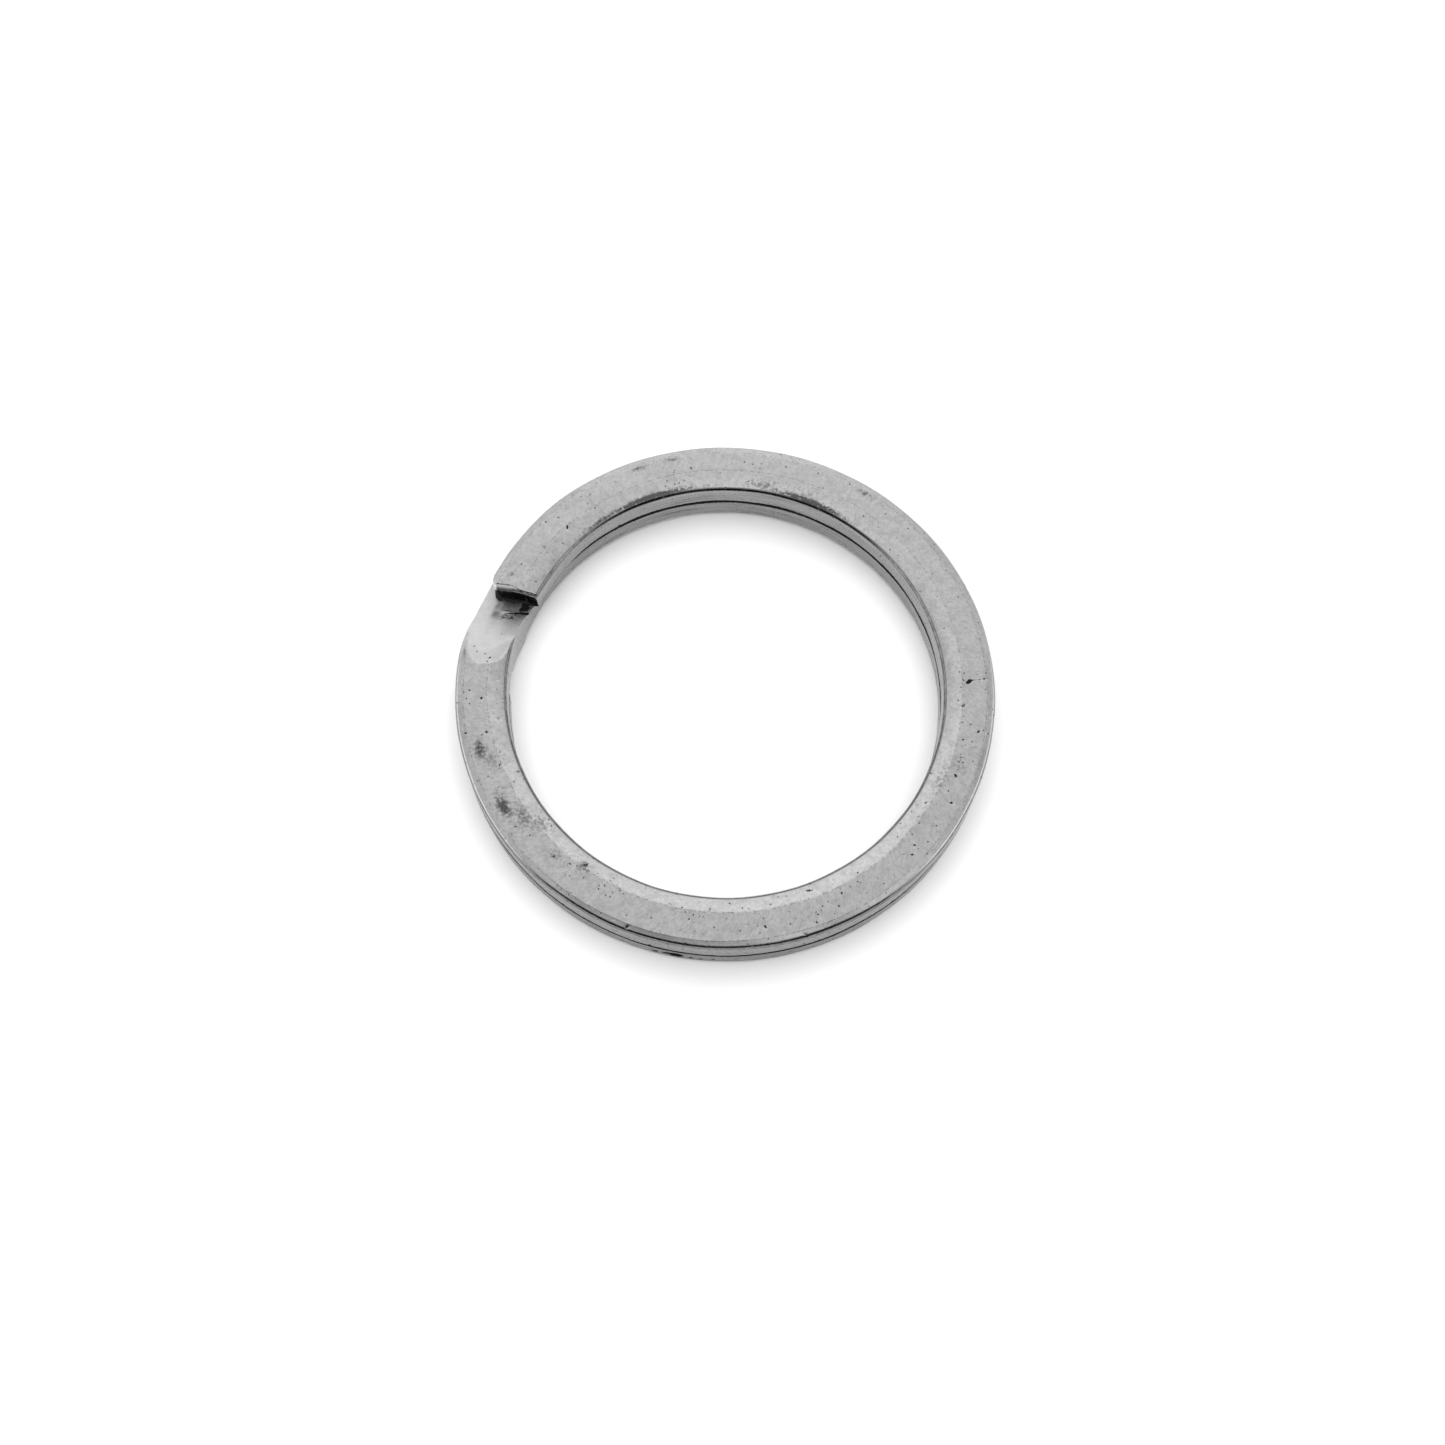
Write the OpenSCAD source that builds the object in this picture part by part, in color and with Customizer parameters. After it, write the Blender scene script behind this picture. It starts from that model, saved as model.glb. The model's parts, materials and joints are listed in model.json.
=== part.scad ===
// Split key ring: one flat steel wire wound into two stacked turns.
// The wire climbs from the lower to the upper turn at the crank, centred on +X.
// Each turn is cut into stretches, because the wire twists along its length when
// a tip is lifted. Half a turn about X maps the upper turn onto the lower one.
// Origin: ring centre at mid height. +Z: ring axis. Sizes in mm and degrees.

/* [Ring] */
// Outer diameter of both turns
ring_od = 25; // [22:0.5:32]
// Width of the wire, measured radially
wire_w = 2.4; // [2:0.1:3]
// Thickness of the wire, measured along the axis
wire_t = 1.4; // [1.1:0.1:1.8]
// Hairline between the two closed turns
turn_gap = 0.04; // [0.02:0.01:0.1]

/* [Crank] */
// Half the angle over which the wire climbs
climb_half = 7.4; // [6.5:0.1:8.5]
// How far the upper face climbs ahead of the wire's centreline
climb_lead = 0.9; // [0.4:0.1:1.2]
// Angle of the tight bend at the foot of the climb
foot_bend = 1.6; // [0.8:0.1:2.5]
// Angle of the soft bend at the head of the climb
head_bend = 6; // [4:0.5:8]
// Half the angle of the rigid stretch that holds the crank
crank_half = 30; // [24:1:40]
// Slant of the crank's bends, against the radial line
crank_slant = 15; // [0:1:18]

/* [Tips] */
// Angle from the crank's centre to a cut tip
tip_angle = 9.5; // [9.3:0.1:12]
// Slant of the sheared end, against the radial line
tip_slant = 15; // [0:1:18]
// Size of the corner broken off the tip's outer edge
tip_corner = 0.5; // [0.2:0.05:0.8]

/* [Wire edges] */
// Width of the narrow outer bevel on a ground face
outer_bevel_w = 0.4; // [0.3:0.05:0.5]
// Depth of the narrow outer bevel
outer_bevel_d = 0.14; // [0.05:0.01:0.2]
// Width of the wide inner bevel on a ground face
inner_bevel_w = 0.85; // [0.5:0.05:1]
// Depth of the wide inner bevel
inner_bevel_d = 0.17; // [0.1:0.01:0.25]
// Radius where a bevel meets the wall
edge_r = 0.2; // [0.15:0.01:0.25]
// Radius of the edges beside the hairline
gap_edge_r = 0.08; // [0.05:0.01:0.12]

/* [Hidden] */
r_out = ring_od / 2;
r_in = r_out - wire_w;
r_mid = (r_out + r_in) / 2;
face_low = turn_gap / 2;
face_high = turn_gap / 2 + wire_t;
stretches = 8;
stretch_angle = (360 - tip_angle - crank_half) / stretches;
corner_steps = 4;
climb_step = 1;
arm_step = 3;
arm_from = 12;
fade_angle = 4;
plain_bevel = 0.01;
turn_fn = 180;
over = 1;

steel_a = "#b8bcc0";
steel_b = "#9da2a8";
steel_crank = "#8a9097";

function mix(a, b, f) = a + (b - a) * f;

// One corner of the wire: an arc from the wall, then the bevel up to the flat face.
// Returned as [inset from the wall, drop from the face], ordered wall to face.
function corner(bevel_w, bevel_d, radius) =
    let (slope = atan(bevel_d / bevel_w),
         drop_c = (radius * sin(slope) + bevel_w - radius) * tan(slope)
                  + radius * cos(slope))
    concat(
        [for (i = [0 : corner_steps])
            let (a = (90 - slope) * i / corner_steps)
            [radius * (1 - cos(a)), drop_c - radius * sin(a)]],
        [[bevel_w, 0]]);

// Corner between a plain edge beside the hairline (f = 0) and a bevelled one (f = 1).
function faded(f, bevel_w, bevel_d) =
    corner(mix(gap_edge_r + plain_bevel, bevel_w, f),
           mix(plain_bevel / 2, bevel_d, f),
           mix(gap_edge_r, edge_r, f));

function reversed(points) = [for (i = [len(points) - 1 : -1 : 0]) points[i]];

// Outline of the wire as [radius, height], counter-clockwise from the bottom outside.
function outline(bottom, top, f_bottom, f_top) =
    concat(
        [for (p = reversed(faded(f_bottom, outer_bevel_w, outer_bevel_d)))
            [r_out - p[0], bottom + p[1]]],
        [for (p = faded(f_top, outer_bevel_w, outer_bevel_d))
            [r_out - p[0], top - p[1]]],
        [for (p = reversed(faded(f_top, inner_bevel_w, inner_bevel_d)))
            [r_in + p[0], top - p[1]]],
        [for (p = faded(f_bottom, inner_bevel_w, inner_bevel_d))
            [r_in + p[0], bottom + p[1]]]);

// Share of the climb covered after angle u: tight bend, straight slope, soft bend.
function climb_share(u) =
    let (span = 2 * climb_half,
         total = span - foot_bend / 2 - head_bend / 2,
         knee = span - head_bend,
         v = u - knee)
    u <= 0 ? 0
    : u >= span ? 1
    : u < foot_bend ? u * u / (2 * foot_bend) / total
    : u < knee ? (u - foot_bend / 2) / total
    : (knee - foot_bend / 2 + v - v * v / (2 * head_bend)) / total;

function top_height(a) =
    mix(-face_low, face_high, climb_share(a + climb_half + climb_lead));

// The bevels fade in where the ground face begins, past the head of the climb.
function bevel_share(a) =
    let (u = (a - climb_half + climb_lead) / fade_angle + 0.5,
         c = min(1, max(0, u)))
    c * c * (3 - 2 * c);

// Angle by which the slanted bends run ahead at radius r. It fades out past the crank.
function slant_lead(a, r) =
    let (fade = min(1, (crank_half - abs(a)) / (crank_half - arm_from)))
    (r - r_mid) * tan(crank_slant) / r_mid * (180 / PI) * fade * fade * (3 - 2 * fade);

// Stretch of the upper turn between two angles.
module arc(from, to) {
    rotate([0, 0, from])
        rotate_extrude(angle = to - from, $fn = turn_fn)
            polygon(outline(face_low, face_high, 0, 1));
}

module upper_stretch(index) {
    first = crank_half + index * stretch_angle;
    arc(first, first + stretch_angle);
}

// Last stretch, sheared on a slant, with its outer corner broken.
module upper_end() {
    last = 360 - tip_angle;
    run = (wire_w + over) * tan(tip_slant);
    difference() {
        arc(last - stretch_angle, last);
        rotate([0, 0, last])
            translate([0, 0, -over])
                linear_extrude(height = face_high + 2 * over)
                    polygon([[r_in - over, -run],
                             [r_out, 0],
                             [r_out, over],
                             [r_in - over, over]]);
        rotate([0, 0, last])
            translate([r_out, 0, -over])
                rotate([0, 0, 45])
                    linear_extrude(height = face_high + 2 * over)
                        square(tip_corner * sqrt(2), center = true);
    }
}

// Rigid stretch through the crank, swept as a run of wire outlines.
module crank_sweep() {
    arm = crank_half - arm_from;
    arm_count = ceil(arm / arm_step);
    angles = concat(
        [for (i = [0 : arm_count - 1]) -crank_half + arm * i / arm_count],
        [for (a = [-arm_from : climb_step : arm_from]) a],
        [for (i = [1 : arm_count]) arm_from + arm * i / arm_count]);
    rings = [for (a = angles)
        [for (p = outline(-top_height(-a), top_height(a),
                          bevel_share(-a), bevel_share(a)))
            let (at = a + slant_lead(a, p[0]))
            [p[0] * cos(at), p[0] * sin(at), p[1]]]];
    count = len(rings[0]);
    last = len(rings) - 1;
    points = [for (ring = rings) for (p = ring) p];
    sides = [for (i = [0 : last - 1]) for (j = [0 : count - 1])
        let (k = (j + 1) % count,
             a = i * count + j,
             b = i * count + k,
             c = (i + 1) * count + k,
             d = (i + 1) * count + j)
        for (tri = [[a, c, b], [a, d, c]]) tri];
    start_cap = [[for (j = [0 : count - 1]) j]];
    end_cap = [[for (j = [count - 1 : -1 : 0]) last * count + j]];
    polyhedron(points, concat(start_cap, sides, end_cap), convexity = 4);
}

module flipped() {
    rotate([180, 0, 0]) children();
}

module crank() { color(steel_crank) crank_sweep(); }
module upper_1() { color(steel_a) upper_stretch(0); }
module upper_2() { color(steel_b) upper_stretch(1); }
module upper_3() { color(steel_a) upper_stretch(2); }
module upper_4() { color(steel_b) upper_stretch(3); }
module upper_5() { color(steel_a) upper_stretch(4); }
module upper_6() { color(steel_b) upper_stretch(5); }
module upper_7() { color(steel_a) upper_stretch(6); }
module upper_tip() { color(steel_b) upper_end(); }
module lower_1() { color(steel_a) flipped() upper_stretch(0); }
module lower_2() { color(steel_b) flipped() upper_stretch(1); }
module lower_3() { color(steel_a) flipped() upper_stretch(2); }
module lower_4() { color(steel_b) flipped() upper_stretch(3); }
module lower_5() { color(steel_a) flipped() upper_stretch(4); }
module lower_6() { color(steel_b) flipped() upper_stretch(5); }
module lower_7() { color(steel_a) flipped() upper_stretch(6); }
module lower_tip() { color(steel_b) flipped() upper_end(); }

crank();
upper_1();
upper_2();
upper_3();
upper_4();
upper_5();
upper_6();
upper_7();
upper_tip();
lower_1();
lower_2();
lower_3();
lower_4();
lower_5();
lower_6();
lower_7();
lower_tip();
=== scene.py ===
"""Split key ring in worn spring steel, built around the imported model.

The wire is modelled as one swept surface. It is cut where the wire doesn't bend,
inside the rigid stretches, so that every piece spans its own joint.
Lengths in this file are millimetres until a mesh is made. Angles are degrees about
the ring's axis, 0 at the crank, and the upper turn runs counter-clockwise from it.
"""

import json
import math
from types import SimpleNamespace

import bpy
import numpy as np
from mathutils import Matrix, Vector


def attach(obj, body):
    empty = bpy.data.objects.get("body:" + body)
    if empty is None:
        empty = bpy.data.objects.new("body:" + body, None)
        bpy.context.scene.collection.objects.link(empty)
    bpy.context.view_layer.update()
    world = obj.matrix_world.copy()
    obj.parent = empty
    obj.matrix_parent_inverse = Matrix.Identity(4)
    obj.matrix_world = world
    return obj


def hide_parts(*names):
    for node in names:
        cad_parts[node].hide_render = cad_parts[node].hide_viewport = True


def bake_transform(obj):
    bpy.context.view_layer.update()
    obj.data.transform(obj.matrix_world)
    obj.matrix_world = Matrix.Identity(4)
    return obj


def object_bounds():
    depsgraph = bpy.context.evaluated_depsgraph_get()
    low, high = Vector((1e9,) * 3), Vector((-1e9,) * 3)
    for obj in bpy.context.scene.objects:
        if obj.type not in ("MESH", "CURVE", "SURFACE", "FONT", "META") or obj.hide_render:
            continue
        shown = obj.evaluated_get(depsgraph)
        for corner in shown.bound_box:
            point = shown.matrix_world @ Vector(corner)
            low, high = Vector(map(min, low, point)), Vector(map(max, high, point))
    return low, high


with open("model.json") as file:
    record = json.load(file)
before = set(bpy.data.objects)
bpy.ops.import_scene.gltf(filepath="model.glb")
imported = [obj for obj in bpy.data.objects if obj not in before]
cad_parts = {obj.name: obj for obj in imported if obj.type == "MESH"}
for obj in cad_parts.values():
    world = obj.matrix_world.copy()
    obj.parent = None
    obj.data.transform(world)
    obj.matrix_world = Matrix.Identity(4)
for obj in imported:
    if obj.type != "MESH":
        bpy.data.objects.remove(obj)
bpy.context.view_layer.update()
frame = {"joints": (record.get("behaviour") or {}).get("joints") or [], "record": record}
MM = 0.001

# ---------------------------------------------------------------- sizes of the wire
SEED = 40
R_OUT = 12.5
R_IN = frame["record"]["mounts"][0]["dims"]["r_mm"]
R_MID = (R_OUT + R_IN) / 2
FACE_LOW = 0.02
FACE_HIGH = 1.42
CLIMB_HALF = 7.4
CLIMB_LEAD = 0.9
FOOT_BEND = 1.6
HEAD_BEND = 6.0
TIP_AT = 350.5
CRANK_HALF = 30.0
STRETCHES = 8
STRETCH = (TIP_AT - CRANK_HALF) / STRETCHES

# The crank's piece ends here, short of the first joints, so that the next pieces
# span them.
CRANK_CUT = 21.0

# The climb's bends and the shear lie on a slant to the radial line. The crank's slant
# is full up to BENDS_HALF and has faded out at CRANK_CUT.
BENDS_HALF = 12.0
CRANK_SLANT = 15.0
TIP_SLANT = 15.0

# The sheared tip: the outer corner that is broken off, how many times longer it is
# along the wire than across it, the rounding of the end, and the length of wire whose
# rows lean into the shear's slant.
TIP_CORNER = 0.5
TIP_CORNER_LONG = 1.8
TIP_ROUND = 0.22
SHEAR_RUN = 2.2

# The upper turn leans inward towards its tip.
TIP_LEAN = 0.2
LEAN_FROM = 318.0
TIP_SLANT_LEAD = -math.degrees((R_OUT - R_MID) * math.tan(math.radians(TIP_SLANT)) / R_MID)

# The recess between the tip and the climb's first bend, along the slanted bends.
RECESS_FROM = TIP_AT + TIP_SLANT_LEAD - 360
RECESS_TO = -CLIMB_HALF - CLIMB_LEAD

# What the crimping tool left on the climb.
PATCH_MIDDLE = 11.1
PATCH_HEAD = 8.7
FOLD = 0.36
LIP = 0.10
SAG = 0.22
PRESSED_DEPTH = 0.03

# How dark the painted shade in the hairline, in the recess and on the sheared end is, and how
# uneven the wire is.
SHADE_DARKNESS = 0.9
UNEVEN = 0.006

# Edges: plain ones face the other turn, worn ones face outwards.
PLAIN_R = 0.07
WORN_R = 0.28
PLAIN_BEVEL = (0.09, 0.004)
EDGE_FROM = 1.0
EDGE_FADE_OUT = 6.0
EDGE_FADE_IN = 5.0

# The camera stands at this angle about the ring's axis, so the near side of the
# ring, where the faces are ground widest, is here too.
NEAR = 101.7

# ------------------------------------------------------------ resolution of the mesh
ROW_STEP = 0.25
FINE_STEP = 0.125
SHARP_ANGLE = 55.0
ARC_N, BEVEL_OUT_N, BEVEL_IN_N, FLAT_N, WALL_N = 6, 6, 12, 22, 14


def smooth(t):
    """An even step from 0 to 1."""
    t = np.clip(t, 0.0, 1.0)
    return t * t * (3 - 2 * t)


def climb_share(u):
    """Share of the climb covered after angle u: tight bend, slope, soft bend."""
    span = 2 * CLIMB_HALF
    total = span - FOOT_BEND / 2 - HEAD_BEND / 2
    knee = span - HEAD_BEND
    v = u - knee
    rise = np.where(u < FOOT_BEND, u * u / (2 * FOOT_BEND), u - FOOT_BEND / 2)
    rise = np.where(u < knee, rise, knee - FOOT_BEND / 2 + v - v * v / (2 * HEAD_BEND))
    return np.where(u <= 0, 0.0, np.where(u >= span, 1.0, rise / total))


def top_height(angle):
    """Height of the wire's upper face along the crank."""
    share = climb_share(angle + CLIMB_HALF + CLIMB_LEAD)
    return -FACE_LOW + (FACE_HIGH + FACE_LOW) * share


def near_share(angle):
    """1 at the near side of the ring, -1 at the far side."""
    return np.cos(np.radians(angle - NEAR))


def wobble(angle, seed, scale):
    """Slow uneven change along the wire."""
    rng = np.random.default_rng(seed)
    total = np.zeros_like(angle)
    for turns in (3, 5, 9, 14, 23):
        total += rng.normal() / math.sqrt(turns) * np.sin(
            np.radians(angle * turns) + rng.uniform(0, math.tau))
    return scale * total


# ------------------------------------------------------------------- wire outline
def corner(width, drop, radius, curve, count):
    """Inset from the wall and drop from the face of one corner, wall to face."""
    slope = np.arctan2(drop, width - 0.6 * radius)
    for _ in range(4):
        foot = radius * (1 - np.sin(slope))
        slope = np.arctan2(drop * (1 + curve), width - foot)
    turn = np.linspace(0, 1, ARC_N + 1) * (math.pi / 2 - slope)[:, None]
    radius = radius[:, None]
    centre = (drop + radius[:, 0] * np.cos(slope))[:, None]
    t = np.linspace(0, 1, count + 1)[None, 1:]
    inset = np.hstack([radius * (1 - np.cos(turn)),
                       foot[:, None] + (width - foot)[:, None] * t])
    fall = np.hstack([centre - radius * np.sin(turn),
                      drop[:, None] * ((1 - curve) * (1 - t) + curve * (1 - t) ** 2)])
    return inset, fall


def between(start, end, count):
    """Points strictly between two columns, so that count spans join them."""
    t = np.linspace(0, 1, count + 1)[None, 1:-1]
    return start[:, None] * (1 - t) + end[:, None] * t


def worn_edge(angle, share, outer, seed):
    """Width, drop and radius of an edge, from plain (share 0) to worn (share 1)."""
    near = near_share(angle)
    if outer:
        width = 0.42 - 0.07 * near + wobble(angle, seed, 0.02)
        drop = 0.135 - 0.035 * near
    else:
        width = 0.86 - 0.12 * near + wobble(angle, seed + 1, 0.03)
        drop = 0.17 - 0.01 * near
    return [(1 - share) * plain + share * worn
            for plain, worn in ((PLAIN_BEVEL[0], width), (PLAIN_BEVEL[1], drop),
                                (PLAIN_R, WORN_R))]


def edge_share(angle, fade):
    """0 where an edge is still plain, 1 where it is fully worn."""
    return smooth((angle - EDGE_FROM) / fade)


def outline(angle, seed):
    """Radius, height and ground-face mask of the wire for each angle.

    Points run from the bottom outside up the outer wall, in over the top, down the
    inner wall and out along the bottom.
    """
    top, bottom = top_height(angle), -top_height(-angle)
    shares = {"top_out": edge_share(angle, EDGE_FADE_OUT),
              "top_in": edge_share(angle, EDGE_FADE_IN),
              "bottom_out": edge_share(-angle, EDGE_FADE_OUT),
              "bottom_in": edge_share(-angle, EDGE_FADE_IN)}
    corners = {}
    for name, share in shares.items():
        outer = name.endswith("out")
        flipped = name.startswith("bottom")
        width, drop, radius = worn_edge(-angle if flipped else angle, share, outer, seed)
        corners[name] = corner(width, drop, radius, 0.0 if outer else 0.45,
                               BEVEL_OUT_N if outer else BEVEL_IN_N)

    def place(name, reverse):
        inset, fall = corners[name]
        r = R_OUT - inset if name.endswith("out") else R_IN + inset
        z = (bottom[:, None] + fall if name.startswith("bottom")
             else top[:, None] - fall)
        return (r[:, ::-1], z[:, ::-1]) if reverse else (r, z)

    order = (("bottom_out", True), ("top_out", False), ("top_in", True),
             ("bottom_in", False))
    placed = [place(*entry) for entry in order]
    spans = (WALL_N, FLAT_N, WALL_N, FLAT_N)
    radii, heights, ground = [], [], []
    for i, (r, z) in enumerate(placed):
        following = placed[(i + 1) % 4]
        radii += [r, between(r[:, -1], following[0][:, 0], spans[i])]
        heights += [z, between(z[:, -1], following[1][:, 0], spans[i])]
        flat = 1.0 if i == 1 else 0.0
        ground += [np.zeros(r.shape[1]), np.full(spans[i] - 1, flat)]
        if i == 1:
            ground[-2][-1] = 1.0
    return np.hstack(radii), np.hstack(heights), np.concatenate(ground)


# ------------------------------------------------------------------ dents, pit marks, stains and painted shade
class Marks:
    """Dents in the wire. Each lies on a face at an angle and a place across it."""

    def __init__(self):
        self.rows = []

    def add(self, face, angle, across, along_size, across_size, depth,
            turn=0.0, dark=0.6):
        self.rows.append((face, angle, across, along_size, across_size, depth,
                          math.radians(turn), dark))

    def line(self, face, points, width, depth, dark):
        """A scratch: small dents in a row along straight runs between points."""
        for (a0, r0), (a1, r1) in zip(points, points[1:]):
            long = math.hypot(math.radians(a1 - a0) * R_MID, r1 - r0)
            count = max(1, round(long / (1.1 * width)))
            for i in range(count):
                t = (i + 0.5) / count
                self.add(face, a0 + (a1 - a0) * t, r0 + (r1 - r0) * t,
                         width, width, depth, 0, dark)

    def scatter(self, seed, count, start, end, crowd):
        """Random pit marks, more of them where crowd(angle) is high."""
        rng = np.random.default_rng(seed)
        while count:
            angle = rng.uniform(start, end)
            if rng.uniform() > crowd(angle):
                continue
            face = rng.choice(["top", "outer", "inner"], p=[0.5, 0.28, 0.22])
            across = (rng.uniform(R_IN + 0.1, R_OUT - 0.1) if face == "top"
                      else rng.uniform(0.1, 1.2))
            size = 0.03 + 0.045 * rng.uniform() ** 3
            self.add(face, angle, across, size * rng.uniform(0.8, 2.0), size,
                     size * 0.5, rng.uniform(0, 180), rng.uniform(0.3, 0.8))
            count -= 1

    def apply(self, angle, r, z):
        """Depth and darkness at every point of the outline rows."""
        depth, dark = np.zeros_like(r), np.zeros_like(r)
        for face, at, across, a, b, deep, turn, tone in self.rows:
            reach = math.degrees(3.2 * max(a, b) / R_MID)
            rows = np.nonzero(np.abs(angle - at) < reach)[0]
            if not len(rows):
                continue
            rr, zz = r[rows], z[rows]
            along = np.radians(angle[rows] - at)[:, None] * rr
            if face == "top":
                off, other = rr - across, zz - zz.max(1, keepdims=True)
            else:
                wall = R_OUT if face == "outer" else R_IN
                off, other = zz - across, rr - wall
            u = along * math.cos(turn) + off * math.sin(turn)
            v = -along * math.sin(turn) + off * math.cos(turn)
            near = np.exp(-(other / 0.4) ** 4)
            d2 = (u / a) ** 2 + (v / b) ** 2
            depth[rows] += deep * np.exp(-d2 * 1.4) * near
            dark[rows] = np.maximum(dark[rows], tone * np.exp(-d2 ** 2) * near)
        return depth, dark


def pit_crowd(angle):
    """More pit marks on the near left of the ring than on its far side."""
    return 0.45 + 0.4 * math.cos(math.radians(angle - NEAR + 30))


upper_marks = Marks()
# A three-cornered nick with a scratch that runs from it to the outer edge.
upper_marks.add("top", 194.3, 11.3, 0.15, 0.10, 0.05, 60, 0.8)
upper_marks.add("top", 194.0, 11.2, 0.09, 0.12, 0.04, 10, 0.7)
upper_marks.line("top", ((194.5, 11.4), (194.8, 12.05)), 0.04, 0.02, 0.55)
# The burr that the shear left along the tip.
upper_marks.line("top", ((349.2, 12.1), (349.0, 11.4), (350.0, 10.9), (350.2, 10.6),
                         (349.7, 10.35)), 0.035, 0.02, 0.6)
# Larger pit marks seen on the upper face: angle, radius, size.
for at, across, size in ((188, 11.0, 0.10), (182, 11.8, 0.07), (175, 11.3, 0.07),
                         (164, 11.7, 0.10), (161, 10.7, 0.06), (157, 10.8, 0.05),
                         (146, 12.1, 0.06), (68, 10.7, 0.10), (61, 11.3, 0.06),
                         (35, 11.0, 0.06), (7.5, 11.0, 0.05), (292, 11.3, 0.06),
                         (327, 11.0, 0.09), (249, 12.0, 0.09), (345, 10.5, 0.06),
                         (15, 11.8, 0.07), (50, 11.7, 0.06)):
    upper_marks.add("top", at, across, size * 1.3, size * 0.7, size * 0.4, at * 7 % 180, 0.7)
# Specks at the foot of the climb.
speck = np.random.default_rng(11)
for _ in range(80):
    upper_marks.add("top", speck.normal(-6.3, 0.8), speck.normal(11.0, 0.42),
                    speck.uniform(0.03, 0.08), 0.03, 0.015, speck.uniform(0, 180), 0.8)
# Short dark dashes that the grinding left on the near flat.
for _ in range(130):
    upper_marks.add("top", speck.normal(98, 16), speck.uniform(10.7, 12.0),
                    speck.uniform(0.04, 0.09), 0.028, 0.012, speck.normal(62, 14),
                    speck.uniform(0.35, 0.6))
upper_marks.scatter(5, 300, 10, 350, pit_crowd)

lower_marks = Marks()
lower_marks.scatter(6, 300, 10, 350, lambda angle: pit_crowd(-angle))
# A dark bruise on the outer wall of the lower turn, on the near side.
for at, high, size in ((266.7, 0.62, 0.40), (268.6, 0.6, 0.22), (271.0, 0.65, 0.16),
                       (263.6, 0.75, 0.12), (261.5, 0.8, 0.10), (259.0, 0.7, 0.10)):
    lower_marks.add("outer", at, high, size, size * 0.8, 0.02, 0, 0.85)

# Soft stains, and painted dark reflections along the inner rim, only darken the steel: angle,
# radius, length, width, tone.
STAINS_AND_RIM_REFLECTIONS = ((30, 11.65, 0.50, 0.32, 0.75), (33, 11.3, 0.35, 0.4, 0.4),
          (44.5, 11.65, 0.65, 0.30, 0.85), (49, 11.2, 0.7, 0.4, 0.5),
          (53, 10.7, 0.6, 0.3, 0.45), (61, 11.2, 0.35, 0.3, 0.35),
          (68, 10.8, 0.35, 0.25, 0.6), (173, 11.4, 0.35, 0.4, 0.3),
          (168, 10.8, 0.9, 0.3, 0.3), (296, 11.9, 0.5, 0.1, 0.5),
          (304, 11.9, 0.35, 0.1, 0.7), (249, 11.9, 0.4, 0.12, 0.6),
          (262, 10.6, 1.2, 0.25, 0.25), (345.5, 11.7, 0.25, 0.15, 0.5),
          # The entries at radius 10.30 to 10.32 are painted dark reflections along the inner rim.
          (260, 10.32, 2.0, 0.14, 1.0), (304, 10.32, 2.4, 0.14, 1.0),
          (318, 10.30, 1.4, 0.12, 0.7), (273, 10.5, 1.0, 0.22, 0.5))


def stain_and_rim_reflection(angle, r, z):
    """How dark the soft stains and the painted rim reflections make each point of the upper face.
    """
    total = np.zeros_like(r)
    for at, across, length, width, tone in STAINS_AND_RIM_REFLECTIONS:
        along = np.radians(angle - at)[:, None] * r
        d2 = (along / length) ** 2 + ((r - across) / width) ** 2
        total = np.maximum(total, tone * np.exp(-d2) * smooth((z - 1.0) / 0.2))
    return total


def seam_shade(angle, r, z, turn):
    """Painted shade along the hairline, on the edges that face the other turn."""
    inset = np.minimum(R_OUT - r, r - R_IN)
    painted_shade = smooth((0.16 - np.abs(z)) / 0.05) * smooth((0.20 - inset) / 0.08)
    if turn == "crank":
        start = -RECESS_FROM + 0.3 + 4.0 * smooth((r - 11.7) / 0.2)
        painted_shade = painted_shade * smooth((np.abs(angle) - start) / 2.5)
    return SHADE_DARKNESS * painted_shade


def mating_shade(angle, z, turn):
    """Painted shade, mottled by the material, on the faces that lie on the other turn and on the
    walls beside the hairline.
    """
    hairline_shade = 0.4 * smooth((0.12 - np.abs(z)) / 0.05)
    if turn == "crank":
        hairline_shade = hairline_shade * smooth((np.abs(angle) - 13.0) / 4.0)
    return hairline_shade


def wall_grime_and_shade(angle, r):
    """Grime and painted shade on the lower turn's outer wall, on the near side."""
    return (0.5 * smooth((r - R_OUT + 0.12) / 0.1)
            * smooth((near_share(-angle) - 0.3) / 0.6))


def recess_shade(angle, r):
    """Painted shade on the inner side of the recess, and in the crease where the climb starts."""
    corner = (smooth((10.85 - r) / 0.25) * smooth((r - 10.22) / 0.12)
              * smooth((angle - RECESS_FROM + 0.3) / 0.3)
              * smooth((RECESS_TO + 0.3 - angle) / 0.3))
    wide = 0.55 * np.clip((11.35 - r) / 0.9, 0, 1) + 1e-3
    crease = smooth((10.0 * wide)) * np.exp(-((angle - RECESS_TO - 0.75) / wide) ** 4)
    return SHADE_DARKNESS * np.maximum(corner, crease)


# ------------------------------------------------------------------- wire surface
def slant_lead(angle, r, half):
    """Angle by which the slanted bends run ahead at radius r, fading out at half."""
    fade = smooth((half - np.abs(angle)) / (half - BENDS_HALF))
    return np.degrees((r - R_MID) * math.tan(math.radians(CRANK_SLANT)) / R_MID) * fade


def pressed_patch(angle, r):
    """1 inside the smooth patch that the crimping tool pressed into the climb."""
    off = r - PATCH_MIDDLE
    head = PATCH_HEAD - 5.0 * np.where(off > 0, (np.abs(off) / 1.05) ** 3, (off / 0.9) ** 4)
    foot = RECESS_TO + (RECESS_FROM - 3.0 - RECESS_TO) * smooth((r - 11.5) / 0.2)
    return smooth((head - angle) / 0.6 + 0.5) * smooth((angle - foot) / 0.3)


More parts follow.
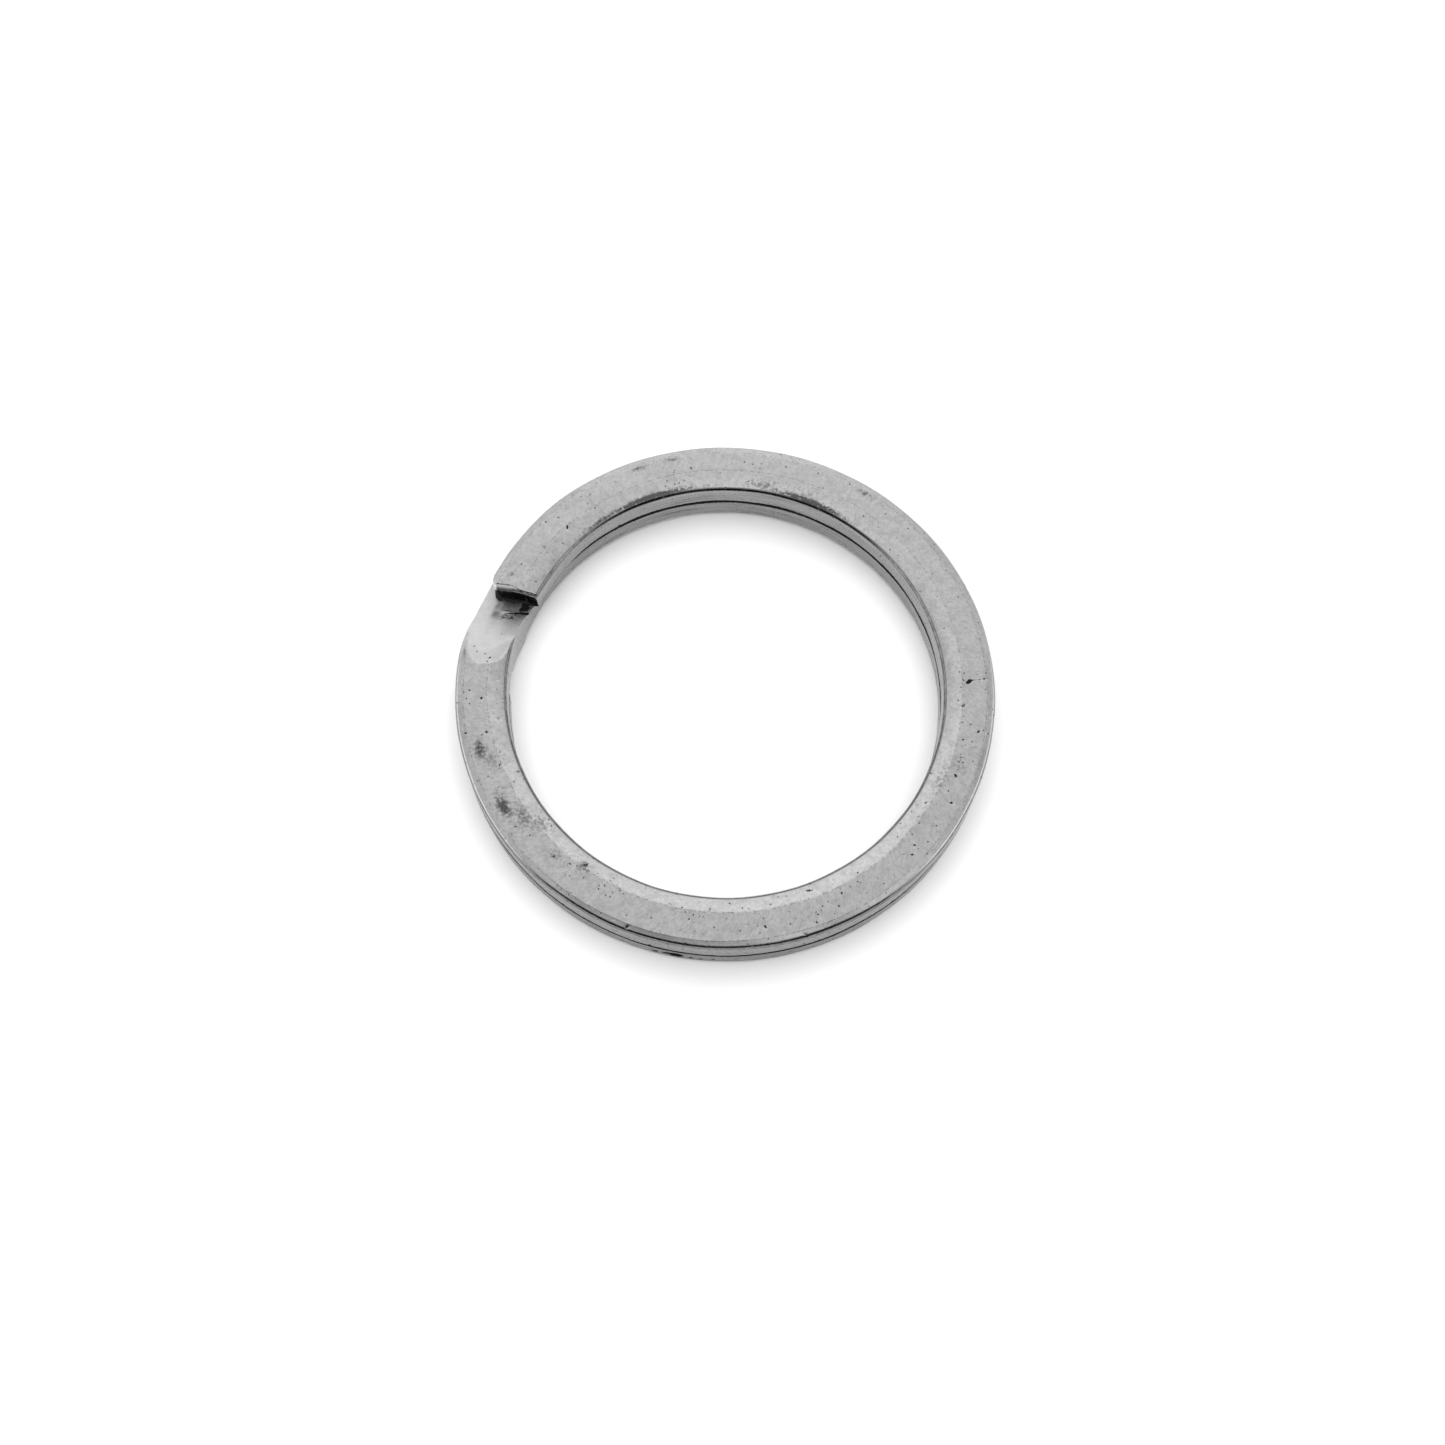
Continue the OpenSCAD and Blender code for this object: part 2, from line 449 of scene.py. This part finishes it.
def crimp(angle, r):
    """Height that crimping adds to the climb, over the plain wire."""
    past = angle - RECESS_TO
    fold = FOLD * np.clip((11.40 - r) / 1.1, 0, 1) * smooth((past + 0.3) / 0.5)
    fold = fold * np.exp(-(np.clip(past, 0, None) / 7.5) ** 2)
    rest = angle - RECESS_FROM
    lip = LIP * smooth((r - 11.55) / 0.25) * smooth(rest / 2.8) * smooth((4.0 - past) / 4.0)
    sag = SAG * smooth((r - 11.8) / 0.6) * np.exp(-((angle - 2.0) / 3.5) ** 2)
    return fold + lip - sag


def crimped(at, r, z):
    """Heights of the crank's outline once its upper and lower face are crimped."""
    low, high = z.min(1, keepdims=True), z.max(1, keepdims=True)
    level = (z - low) / (high - low)
    z = z + crimp(at, r) * smooth((level - 0.4) / 0.5)
    return z - crimp(-at, r) * smooth((0.6 - level) / 0.5)


def outline_normals(r, z):
    tr = np.roll(r, -1, 1) - np.roll(r, 1, 1)
    tz = np.roll(z, -1, 1) - np.roll(z, 1, 1)
    length = np.hypot(tr, tz) + 1e-9
    return tz / length, -tr / length


def crank_marks(at, r, normal_z):
    """Painted shade in the recess and crease, pressed patch and the patch's depth, on both faces
    of the crank.
    """
    painted_shade, pressed, hollow = (np.zeros_like(r) for _ in range(3))
    for side in (1, -1):
        face = side * normal_z > 0.3
        painted_shade = np.maximum(painted_shade, recess_shade(side * at, r) * face)
        patch = pressed_patch(side * at, r) * face
        pressed = np.maximum(pressed, patch)
        hollow = hollow + PRESSED_DEPTH * patch * smooth((side * at - 2.0) / 3.0)
    return painted_shade, pressed, hollow


def unevenness(angle, around, seed):
    """Slight waves. They fade out at the crank's cuts, where both turns meet it."""
    waves = UNEVEN * np.sin(np.radians(angle * 19)[:, None] + 3 * around)
    waves = waves + wobble(angle, seed + 7, UNEVEN)[:, None] * np.cos(around)
    return waves * smooth(np.abs(np.abs(angle) - CRANK_CUT) / 4.0)[:, None]


def wire_rows(angle, turn, seed):
    """Finished outline rows: points in mm and the masks the material uses."""
    r, z, ground = outline(angle, seed)
    at = np.repeat(angle[:, None], r.shape[1], 1)
    if turn == "crank":
        z = crimped(at, r, z)
    normal_r, normal_z = outline_normals(r, z)
    marks = lower_marks if turn == "lower" else upper_marks
    depth, dark = marks.apply(angle, r, z)
    # Painted shade along the hairline between the turns.
    dark = np.maximum(dark, seam_shade(at, r, z, turn))
    # Soft marks: stains and painted rim reflections on the upper turn and crank, painted shade by
    # the hairline, and soiling with painted shade on the lower wall.
    soft = wall_grime_and_shade(at, r) if turn == "lower" else stain_and_rim_reflection(angle, r, z)
    soft = np.maximum(soft, mating_shade(at, z, turn))
    pressed = np.zeros_like(r)
    if turn == "crank":
        painted_shade, pressed, hollow = crank_marks(at, r, normal_z)
        # Painted shade in the recess and crease.
        dark = np.maximum(dark, painted_shade)
        depth = depth + hollow
    around = np.linspace(0, math.tau, r.shape[1], endpoint=False)[None]
    depth = depth + unevenness(angle, around, seed)
    outer = smooth((r - R_OUT + WORN_R) / WORN_R)
    r = r - depth * normal_r
    if turn == "upper":
        r = r - TIP_LEAN * smooth((at - LEAN_FROM) / (TIP_AT - LEAN_FROM))
    z = z - depth * normal_z
    steps = np.hypot(np.diff(r, axis=1, append=r[:, :1]),
                     np.diff(z, axis=1, append=z[:, :1]))
    across = np.cumsum(steps, axis=1) - steps
    if turn == "crank":
        at = at + slant_lead(at, r, CRANK_CUT)
    return {"angle": at, "r": r, "z": z, "across": across, "facing": np.abs(normal_z),
            "dark": dark, "pressed": pressed, "soft": soft, "outer": outer,
            "ground": np.repeat(ground[None], len(angle), 0) * (1 - pressed)}


def shear_end(rows, lean):
    """Slants and rounds the last rows into the sheared tip."""
    inset = R_OUT - lean - rows["r"]
    corner_in = np.clip(TIP_CORNER - inset, 0, TIP_CORNER)
    back = np.clip(inset, 0, None) * math.tan(math.radians(TIP_SLANT))
    back = back + TIP_CORNER_LONG * (TIP_CORNER - np.sqrt(TIP_CORNER ** 2 - corner_in ** 2))
    from_end = np.radians(TIP_AT - rows["angle"]) * R_MID
    rows["angle"] = rows["angle"] - np.degrees(back / R_MID) * smooth(1 - from_end / SHEAR_RUN)
    tuck = TIP_ROUND * np.clip(1 - from_end / TIP_ROUND, 0, 1) ** 2 * 0.7
    top = rows["z"] > (FACE_HIGH + FACE_LOW) / 2
    rows["z"] = rows["z"] - np.where(top, tuck, -0.3 * tuck)
    rows["r"] = rows["r"] + np.where(inset > 1.2, 1, -1) * tuck * 0.5
    low = smooth((FACE_HIGH - 0.35 - rows["z"]) / 0.3)
    # Painted shade, with some oxide, on the last rows below the tip's upper edge.
    rows["dark"] = np.maximum(rows["dark"], SHADE_DARKNESS * low * smooth(1 - from_end / 0.08))
    return rows


# ------------------------------------------------------------------------- meshes
COUNTS = {"outer_edge": ARC_N + 1 + BEVEL_OUT_N, "inner_edge": ARC_N + 1 + BEVEL_IN_N}
POINTS = 2 * sum(COUNTS.values()) + 2 * (WALL_N - 1) + 2 * (FLAT_N - 1)


def end_grid(values, first, middle):
    """Fills the outline with a smooth patch of points, spanned from its four sides.

    first is the index of the outline's first point, middle that of the first new one.
    """
    half = ARC_N // 2
    low_out = COUNTS["outer_edge"] - 1 - half
    high_out = COUNTS["outer_edge"] + WALL_N - 1 + half
    high_in = high_out + (COUNTS["outer_edge"] - 1 - half) + FLAT_N + (
        COUNTS["inner_edge"] - 1 - half)
    low_in = high_in + (high_out - low_out)
    ring = np.arange(POINTS)
    outer = ring[low_out:high_out + 1]
    top = ring[high_out:high_in + 1]
    inner = ring[high_in:low_in + 1][::-1]
    bottom = np.concatenate([ring[low_in:], ring[:low_out + 1]])[::-1]
    rows, cols = len(outer), len(top)
    u = np.linspace(0, 1, cols)[None, :, None]
    v = np.linspace(0, 1, rows)[:, None, None]
    v_out, v_in = values[outer][:, None], values[inner][:, None]
    h_low, h_top = values[bottom][None], values[top][None]
    patch = ((1 - u) * v_out + u * v_in + (1 - v) * h_low + v * h_top
             - (1 - u) * (1 - v) * values[low_out] - u * (1 - v) * values[low_in]
             - (1 - u) * v * values[high_out] - u * v * values[high_in])
    index = np.empty((rows, cols), int)
    index[:, 0], index[:, -1], index[0], index[-1] = outer, inner, bottom, top
    index += first
    inside = (rows - 2) * (cols - 2)
    index[1:-1, 1:-1] = middle + np.arange(inside).reshape(rows - 2, cols - 2)
    return patch[1:-1, 1:-1].reshape(inside, -1), index


# Columns of a point: place, the three layers that the material reads as coordinates
# and masks, and again the place at rest.
GROUND_COLUMN, DARK_COLUMN = 6, 7
LAYERS = (("wire", 3), ("masks", 6), ("tint", 9), ("rest", 0))


def row_points(rows):
    """The rows' points, with the columns that LAYERS names."""
    a = np.radians(rows["angle"])
    near = smooth(0.5 + 0.7 * near_share(rows["angle"]))
    return np.stack([rows["r"] * np.cos(a), rows["r"] * np.sin(a), rows["z"],
                     rows["angle"] / 360 * math.tau * R_MID, rows["across"], rows["facing"],
                     rows["ground"], rows["dark"], rows["pressed"],
                     rows["soft"], rows["outer"], near], -1)


def sheared_face(last_row, first, count):
    """New points and faces of the cut end, torn, with painted shade and some oxide below its
    upper edge.
    """
    inner, index = end_grid(last_row, first, count)
    inner[:, GROUND_COLUMN] = 0.0
    # Painted shade, with some oxide, on the end face below its upper edge.
    inner[:, DARK_COLUMN] = 0.75 * smooth((FACE_HIGH - 0.12 - inner[:, 2]) / 0.2)
    inner[:, :3] += np.random.default_rng(3).normal(0, 0.004, (len(inner), 3))
    quads = np.stack([index[:-1, :-1], index[:-1, 1:], index[1:, 1:], index[1:, :-1]], -1)
    return inner, quads.reshape(-1, 4)[:, ::-1]


def wire_mesh(name, points, quads, caps):
    """A smooth mesh with the layers that the material reads."""
    mesh = bpy.data.meshes.new(name)
    mesh.from_pydata((points[:, :3] * MM).tolist(), [], quads.tolist() + caps)
    for label, at in LAYERS:
        layer = mesh.attributes.new(label, "FLOAT_VECTOR", "POINT")
        layer.data.foreach_set("vector", points[:, at:at + 3].astype(np.float32).ravel())
    mesh.shade_smooth()
    mesh.set_sharp_from_angle(angle=math.radians(SHARP_ANGLE))
    mesh.validate()
    return mesh


def build_piece(name, rows, flip, sheared):
    """One closed stretch of wire as a mesh object."""
    data = row_points(rows)
    count, _, columns = data.shape
    points = data.reshape(-1, columns)
    grid = np.arange(count * POINTS).reshape(count, POINTS)
    step = np.roll(grid, -1, 1)
    faces = [np.stack([grid[:-1], step[:-1], step[1:], grid[1:]], -1).reshape(-1, 4)]
    caps = [list(map(int, grid[0]))]
    if sheared:
        inner, end_quads = sheared_face(data[-1], int(grid[-1, 0]), len(points))
        points = np.vstack([points, inner])
        faces.append(end_quads)
    else:
        caps.append(list(map(int, grid[-1][::-1])))
    if flip:
        points = points.copy()
        points[:, 1:3] *= -1
    mesh = wire_mesh(name, points, np.vstack(faces)[:, ::-1], caps)
    piece = bpy.data.objects.new(name, mesh)
    bpy.context.scene.collection.objects.link(piece)
    return piece


# ----------------------------------------------------------------------- material
class Graph:
    """Short helpers that keep the material readable."""

    def __init__(self, material):
        material.use_nodes = True
        self.tree = material.node_tree
        self.tree.nodes.clear()

    def node(self, kind, **inputs):
        made = self.tree.nodes.new("ShaderNode" + kind)
        for key, value in inputs.items():
            self.set(made, key, value)
        return made

    def set(self, made, key, value):
        if key.startswith("_"):
            setattr(made, key[1:], value)
            return
        socket = made.inputs[int(key[1:]) if key[0] == "i" and key[1:].isdigit()
                             else key.replace("_", " ")]
        if isinstance(value, bpy.types.NodeSocket):
            self.tree.links.new(value, socket)
        else:
            socket.default_value = value

    def math(self, operation, a, b=0.0, clamp=False):
        made = self.node("Math", _operation=operation, _use_clamp=clamp, i0=a, i1=b)
        return made.outputs[0]

    def fit(self, value, low, high, to_low=0.0, to_high=1.0):
        made = self.node("MapRange", Value=value)
        made.interpolation_type = "SMOOTHSTEP"
        for key, number in (("From Min", low), ("From Max", high),
                            ("To Min", to_low), ("To Max", to_high)):
            made.inputs[key].default_value = number
        return made.outputs["Result"]

    def mix(self, share, a, b):
        made = self.node("Mix", _data_type="RGBA")
        for socket, value in ((made.inputs[0], share), (made.inputs[6], a),
                              (made.inputs[7], b)):
            if isinstance(value, bpy.types.NodeSocket):
                self.tree.links.new(value, socket)
            else:
                socket.default_value = value
        return made.outputs[2]

    def noise(self, vector, scale, detail=2.0, rough=0.5, warp=0.0):
        made = self.node("TexNoise", Vector=vector, Scale=scale, Detail=detail,
                         Roughness=rough, Distortion=warp)
        return made.outputs["Fac"]

    def placed(self, vector, turn=0.0, size=(1, 1, 1), shift=(0, 0, 0)):
        """Coordinates for a texture that is turned, and whose features have this size."""
        made = self.node("Mapping", _vector_type="TEXTURE", Vector=vector, Location=shift,
                         Rotation=(0, 0, math.radians(turn)), Scale=size)
        return made.outputs["Vector"]


def grey(value):
    """A neutral colour: the photo has no other."""
    return (value, value, value, 1.0)


def steel_masks(g):
    """The masks and coordinates that the meshes carry, as sockets."""
    m = SimpleNamespace()
    m.rest = g.node("Attribute", _attribute_name="rest").outputs["Vector"]
    wire = g.node("Attribute", _attribute_name="wire").outputs["Vector"]
    masks = g.node("SeparateXYZ",
                   Vector=g.node("Attribute", _attribute_name="masks").outputs["Vector"])
    m.ground, m.dark, m.pressed = (masks.outputs[i] for i in range(3))
    tint = g.node("SeparateXYZ",
                  Vector=g.node("Attribute", _attribute_name="tint").outputs["Vector"])
    m.soft, m.outer, m.near = (tint.outputs[i] for i in range(3))
    wire = g.node("SeparateXYZ", Vector=wire)
    m.facing = wire.outputs[2]
    m.along = g.node("CombineXYZ", X=wire.outputs[0], Y=wire.outputs[1]).outputs[0]
    m.wall = g.fit(m.facing, 0.05, 0.50, 1.0, 0.0)
    m.not_wall = g.math("SUBTRACT", 1.0, m.wall)
    m.edge = g.math("MULTIPLY", g.fit(m.facing, 0.80, 0.90, 1.0, 0.0), m.not_wall)
    return m


def steel_textures(g, m):
    """Grinding strokes that cross the ground faces, drawing lines along the wire, noise."""
    m.stroke_a = g.noise(g.placed(m.along, 58, (0.42, 0.075, 1)), 1.0, 2.0, 0.6)
    m.stroke_b = g.noise(g.placed(m.along, 66, (0.9, 0.05, 1), (7, 3, 0)), 1.0, 2.0, 0.5)
    m.drawn = g.noise(g.placed(m.along, 0, (5.0, 0.06, 1)), 1.0, 3.0, 0.6)
    m.grain = g.noise(m.rest, 9.0, 3.0, 0.62)
    m.fine = g.noise(g.placed(m.rest, 0, (1, 1, 1), (5, 0, 0)), 6.5, 4.0, 0.7)
    m.mottle = g.noise(m.rest, 2.2, 4.0, 0.65)
    m.clouds = g.noise(m.rest, 0.6, 3.0, 0.55)


def steel_pits_and_shade(g, m):
    """Rust specks, in some cells and in some areas, and the dark dents and painted shade that the
    mesh marks.
    """
    cells = g.node("TexVoronoi", Vector=m.rest, Scale=5.0, Randomness=1.0)
    chosen = g.node("SeparateColor", Color=cells.outputs["Color"])
    specks = g.math("MULTIPLY", g.fit(cells.outputs["Distance"], 0.12, 0.26, 1.0, 0.0),
                    g.fit(chosen.outputs[0], 0.78, 0.90))
    area = g.math("ADD", m.clouds, g.math("MULTIPLY", m.near, 0.12))
    specks = g.math("MULTIPLY", specks, g.fit(area, 0.41, 0.54))
    # The mesh's dark marks hold dents and specks, and painted shade in the hairline, the recess
    # and on the sheared end.
    stain_and_shade = g.math("ADD", m.dark,
                     g.math("MULTIPLY", g.math("SUBTRACT", m.grain, 0.5), 1.5))
    stain_and_shade = g.math("MULTIPLY", g.fit(stain_and_shade, 0.38, 0.62), g.fit(m.dark, 0.02, 0.10))
    return g.math("MAXIMUM", g.math("MULTIPLY", specks, 0.75), stain_and_shade)


def face_tones(g, m):
    """Greys of the faces: ground, drawn wall with painted shade on the outer walls, rounded edges
    with painted dark reflections, pressed patch.
    """
    tone = g.mix(m.ground, grey(0.53), grey(0.485))
    # Outer walls are painted darker than inner walls: painted shade for the darker floor they
    # mirror.
    tone = g.mix(g.math("MULTIPLY", m.wall, 0.85), tone,
                 g.mix(m.outer, grey(0.30), grey(0.15)))
    # Painted dark reflection on the inner rounded edges.
    rim = g.math("MULTIPLY", g.fit(m.facing, 0.80, 0.92, 0.9, 0.0),
                 g.math("SUBTRACT", 1.0, m.outer))
    tone = g.mix(g.math("MULTIPLY", rim, m.not_wall), tone, grey(0.07))
    # Painted dark reflection on the outer rounded edge, between bevel and wall.
    brow = g.math("MULTIPLY", g.fit(m.facing, 0.10, 0.22),
                  g.fit(m.facing, 0.60, 0.76, 0.85, 0.0))
    tone = g.mix(g.math("MULTIPLY", brow, m.outer), tone, grey(0.05))
    return g.mix(m.pressed, tone, grey(0.60))


def worn_tones(g, m, tone):
    """Mottling, strokes and drawing lines over the faces' greys, then the soft marks: stains,
    painted shade and painted dark reflections on the inner rim.
    """
    worn = g.math("SUBTRACT", 1.0, g.math("MULTIPLY", m.pressed, 0.7))
    tone = g.mix(g.math("MULTIPLY", g.math("MULTIPLY", g.fit(m.fine, 0.40, 0.64), 0.36), worn),
                 tone, grey(0.28))
    tone = g.mix(g.math("MULTIPLY", g.math("MULTIPLY", g.fit(m.mottle, 0.44, 0.66), 0.36), worn),
                 tone, grey(0.30))
    tone = g.mix(g.math("MULTIPLY", g.fit(m.clouds, 0.45, 0.65), 0.14), tone, grey(0.36))
    press = g.math("ADD", 0.14, g.math("MULTIPLY", m.near, 0.18))
    cut = g.math("MULTIPLY", g.fit(m.stroke_a, 0.50, 0.68), m.not_wall)
    cut = g.math("MULTIPLY", cut, g.math("ADD", 0.05, g.math("MULTIPLY", m.ground, press)))
    tone = g.mix(cut, tone, grey(0.22))
    tone = g.mix(g.math("MULTIPLY", g.fit(m.drawn, 0.50, 0.66), m.wall), tone, grey(0.12))
    # Soft marks: stains, painted shade by the hairline and on the lower wall, and painted dark
    # reflections on the inner rim.
    broken = g.fit(g.math("ADD", m.fine, g.math("MULTIPLY", m.soft, 0.25)),
                   0.50, 0.66, 0.15, 1.5)
    return g.mix(g.math("MULTIPLY", m.soft, broken, True), tone, grey(0.09))


def dotted_brink(g, m, tone):
    """A dotted dark line where the ground face meets a bevel."""
    brink = g.fit(g.math("ABSOLUTE", g.math("SUBTRACT", m.ground, 0.5)), 0.20, 0.42, 1.0, 0.0)
    brink = g.math("MULTIPLY", brink, g.fit(m.fine, 0.45, 0.62, 0.08, 0.7))
    brink = g.math("MULTIPLY", brink, g.fit(m.pressed, 0.0, 0.1, 1.0, 0.0))
    return g.mix(brink, tone, grey(0.12))


def steel_roughness(g, m, pits_and_shade):
    """Ground faces are dull, edges that hands have rubbed are bright."""
    rough = g.math("ADD", 0.24, g.math("MULTIPLY", m.ground, 0.08))
    rough = g.math("SUBTRACT", rough, g.math("MULTIPLY", m.edge, 0.12))
    rough = g.math("ADD", rough, g.math("MULTIPLY", m.pressed, 0.24))
    rough = g.math("ADD", rough, g.math("MULTIPLY", g.fit(m.grain, 0.3, 0.7), 0.05))
    return g.math("ADD", rough, g.math("MULTIPLY", pits_and_shade, 0.35), True)


def steel_relief(g, m, pits_and_shade):
    """Relief in millimetres."""
    strokes = g.math("ADD", m.stroke_a, g.math("MULTIPLY", m.stroke_b, 0.7))
    relief = g.math("MULTIPLY", g.math("MULTIPLY", strokes, m.ground), 0.006)
    relief = g.math("ADD", relief, g.math("MULTIPLY", g.math("MULTIPLY", m.drawn, m.wall), 0.004))
    relief = g.math("ADD", relief, g.math("MULTIPLY", m.grain, 0.003))
    return g.math("SUBTRACT", relief, g.math("MULTIPLY", pits_and_shade, 0.02))


def steel_material():
    """Worn bare steel: ground faces, drawn walls, pressed patch, stains and specks, with painted
    shade and painted dark reflections.
    """
    material = bpy.data.materials.new("worn_spring_steel")
    g = Graph(material)
    m = steel_masks(g)
    steel_textures(g, m)
    pits_and_shade = steel_pits_and_shade(g, m)
    tone = dotted_brink(g, m, worn_tones(g, m, face_tones(g, m)))
    bump = g.node("Bump", Height=steel_relief(g, m, pits_and_shade), Strength=1.0, Distance=MM)
    shader = g.node("BsdfPrincipled", Base_Color=g.mix(pits_and_shade, tone, grey(0.03)),
                    Roughness=steel_roughness(g, m, pits_and_shade), Normal=bump.outputs["Normal"])
    # Dirt and painted shade stay dark at a grazing angle too.
    g.set(shader, "Specular_Tint", g.mix(pits_and_shade, grey(1.0), grey(0.0)))
    shader.inputs["Metallic"].default_value = 1.0
    output = g.node("OutputMaterial")
    g.tree.links.new(shader.outputs[0], output.inputs["Surface"])
    return material


# --------------------------------------------------------------------- the ring
steel = steel_material()


def spread(start, end, step):
    """Angles from start to end, at most one step apart."""
    return np.linspace(start, end, int(math.ceil((end - start) / step)) + 1)


def dress(piece, *nodes):
    """Gives a piece its steel, and hides the CAD nodes that it replaces."""
    piece.data.materials.append(steel)
    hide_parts(*nodes)


crank_piece = build_piece(
    "wire_crank", wire_rows(spread(-CRANK_CUT, CRANK_CUT, FINE_STEP), "crank", SEED),
    False, False)
dress(crank_piece, "crank")
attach(crank_piece, "crank")

joints = {joint["name"]: joint for joint in frame["joints"]}

# Each piece runs from the middle of one stretch to the middle of the next, across its joint.
for turn, flip in (("upper", False), ("lower", True)):
    for i in range(STRETCHES):
        joint = joints[f"{turn}_twist_{i + 1}"]
        start = CRANK_CUT if i == 0 else CRANK_HALF + (i - 0.5) * STRETCH
        last = i == STRETCHES - 1
        end = TIP_AT if last else CRANK_HALF + (i + 0.5) * STRETCH
        rows = wire_rows(spread(start, end, FINE_STEP if last else ROW_STEP), turn, SEED)
        if last:
            rows = shear_end(rows, 0.0 if flip else TIP_LEAN)
        piece = build_piece(f"wire_{joint['child']}", rows, flip, last)
        dress(piece, joint["child"])
        at, along = np.array(joint["pos_m"]), np.array(joint["axis"])
        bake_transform(piece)

# ------------------------------------------------------------- floor, light, camera
FLOOR_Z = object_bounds()[0][2]
FLOOR_SIZE = 4.0


def flat_material(name, value, rough):
    """One even grey."""
    material = bpy.data.materials.new(name)
    material.use_nodes = True
    shader = material.node_tree.nodes["Principled BSDF"]
    shader.inputs["Base Color"].default_value = grey(value)
    shader.inputs["Roughness"].default_value = rough
    return material


def panel(name, size, location, material):
    """A level sheet that is part of the stage, not of the object."""
    mesh = bpy.data.meshes.new(name)
    x, y = size[0] / 2, size[1] / 2
    mesh.from_pydata([(-x, -y, 0), (x, -y, 0), (x, y, 0), (-x, y, 0)], [], [(0, 1, 2, 3)])
    mesh.materials.append(material)
    made = bpy.data.objects.new(name, mesh)
    made.location = location
    bpy.context.scene.collection.objects.link(made)
    return made


def around(angle, distance, height):
    """A place at this angle about the ring's axis."""
    a = math.radians(angle)
    return (distance * math.cos(a), distance * math.sin(a), height)


def aimed(obj, target, roll=0.0):
    """Points an object's -Z axis at a target."""
    look = Vector(target) - Vector(obj.location)
    obj.rotation_euler = look.to_track_quat("-Z", "Y").to_euler()
    if roll:
        obj.rotation_euler.rotate_axis("Z", math.radians(roll))


def area_light(name, angle, distance, height, size, power):
    """A rectangular soft box that faces the ring's centre."""
    light = bpy.data.lights.new(name, "AREA")
    light.shape = "RECTANGLE"
    light.size, light.size_y = size
    light.energy = power
    made = bpy.data.objects.new(name, light)
    made.location = around(angle, distance, height)
    bpy.context.scene.collection.objects.link(made)
    aimed(made, (0, 0, 0))
    return made


panel("floor", (FLOOR_SIZE, FLOOR_SIZE), (0, 0, FLOOR_Z),
      flat_material("pale_floor", value=0.93, rough=0.9))

ROOM_LIGHT = 1.2
BACKDROP = 0.85


def room_light(g, near, side, up):
    """Soft white room: brighter low at the sides and behind, dark low in front."""
    # Each term brightens or dims one part of the room: what the bevels and walls mirror.
    light = g.math("ADD", 0.83, g.fit(near, -0.60, -0.30, 0.36, 0.0))
    light = g.math("SUBTRACT", light, g.fit(near, -0.80, -0.58, 0.14, 0.0))
    light = g.math("ADD", light, g.fit(near, -0.12, 0.02, 0.0, 0.16))
    light = g.math("ADD", light, g.math("MULTIPLY", g.fit(side, 0.02, 0.14, 0.0, 0.30),
                                        g.fit(near, 0.15, 0.30)))
    light = g.math("SUBTRACT", light, g.fit(side, -0.05, 0.30, 0.0, 0.10))
    light = g.math("SUBTRACT", light, g.fit(g.math("ABSOLUTE", side), 0.34, 0.50, 0.0, 0.20))
    middle = g.fit(g.math("ABSOLUTE", g.math("ADD", side, 0.10)), 0.28, 0.46, 1.0, 0.0)
    light = g.math("SUBTRACT", light,
                   g.math("MULTIPLY", middle, g.fit(near, 0.34, 0.58, 0.0, 0.46)))
    flank = g.math("MULTIPLY", g.fit(g.math("ABSOLUTE", side), 0.82, 0.94),
                   g.fit(up, 0.25, 0.45, 1.0, 0.0))
    light = g.math("ADD", light, flank)

    # Low in front the room is dark, as the near edges in the photo are.
    high = g.math("MULTIPLY", g.fit(up, 0.66, 0.82, 1.0, 0.0), g.math("SUBTRACT", 1.0, middle))
    dark = g.math("MAXIMUM", high, g.fit(up, 0.52, 0.68, 1.0, 0.0))
    dark = g.math("MULTIPLY", dark, g.fit(near, 0.48, 0.60))
    return g.math("MULTIPLY", light, g.math("SUBTRACT", 1.0, g.math("MULTIPLY", dark, 0.98)))


def studio_world():
    """The room, and behind the floor plain pale grey where the camera looks past it."""
    world = bpy.data.worlds.new("soft_room")
    g = Graph(world)
    way = g.node("TexCoord").outputs["Generated"]
    parts = g.node("SeparateXYZ", Vector=g.placed(way, NEAR))
    light = g.math("MULTIPLY", room_light(g, *(parts.outputs[i] for i in range(3))), ROOM_LIGHT)
    seen = g.node("LightPath").outputs["Is Camera Ray"]
    light = g.math("ADD", g.math("MULTIPLY", light, g.math("SUBTRACT", 1.0, seen)),
                   g.math("MULTIPLY", seen, BACKDROP))
    back = g.node("Background", Strength=light)
    back.inputs["Color"].default_value = grey(1.0)
    output = g.node("OutputWorld")
    g.tree.links.new(back.outputs[0], output.inputs["Surface"])
    return world


bpy.context.scene.world = studio_world()
# This soft box lights the floor evenly. Polished steel doesn't mirror it.
fill = area_light("floor_fill", NEAR + 180, distance=0.05, height=0.50, size=(0.6, 0.6),
                  power=1.9)
fill.visible_glossy = False
bpy.context.scene.view_settings.view_transform = "Standard"

# The photo's camera, fitted to the ring's outlines.
ELEVATION = 68.7
DISTANCE = 7.0 * R_OUT * MM
LENS = 46.5
SHIFT = (-0.0019, -0.0196)
ROLL = 1.92

camera_data = bpy.data.cameras.new("camera")
camera_data.sensor_width = 36.0
camera_data.lens = LENS
camera_data.shift_x, camera_data.shift_y = SHIFT
camera_data.clip_start = 0.01
camera = bpy.data.objects.new("camera", camera_data)
tilt = math.radians(ELEVATION)
camera.location = around(NEAR, DISTANCE * math.cos(tilt), DISTANCE * math.sin(tilt))
bpy.context.scene.collection.objects.link(camera)
aimed(camera, (0, 0, 0), ROLL)
bpy.context.scene.camera = camera
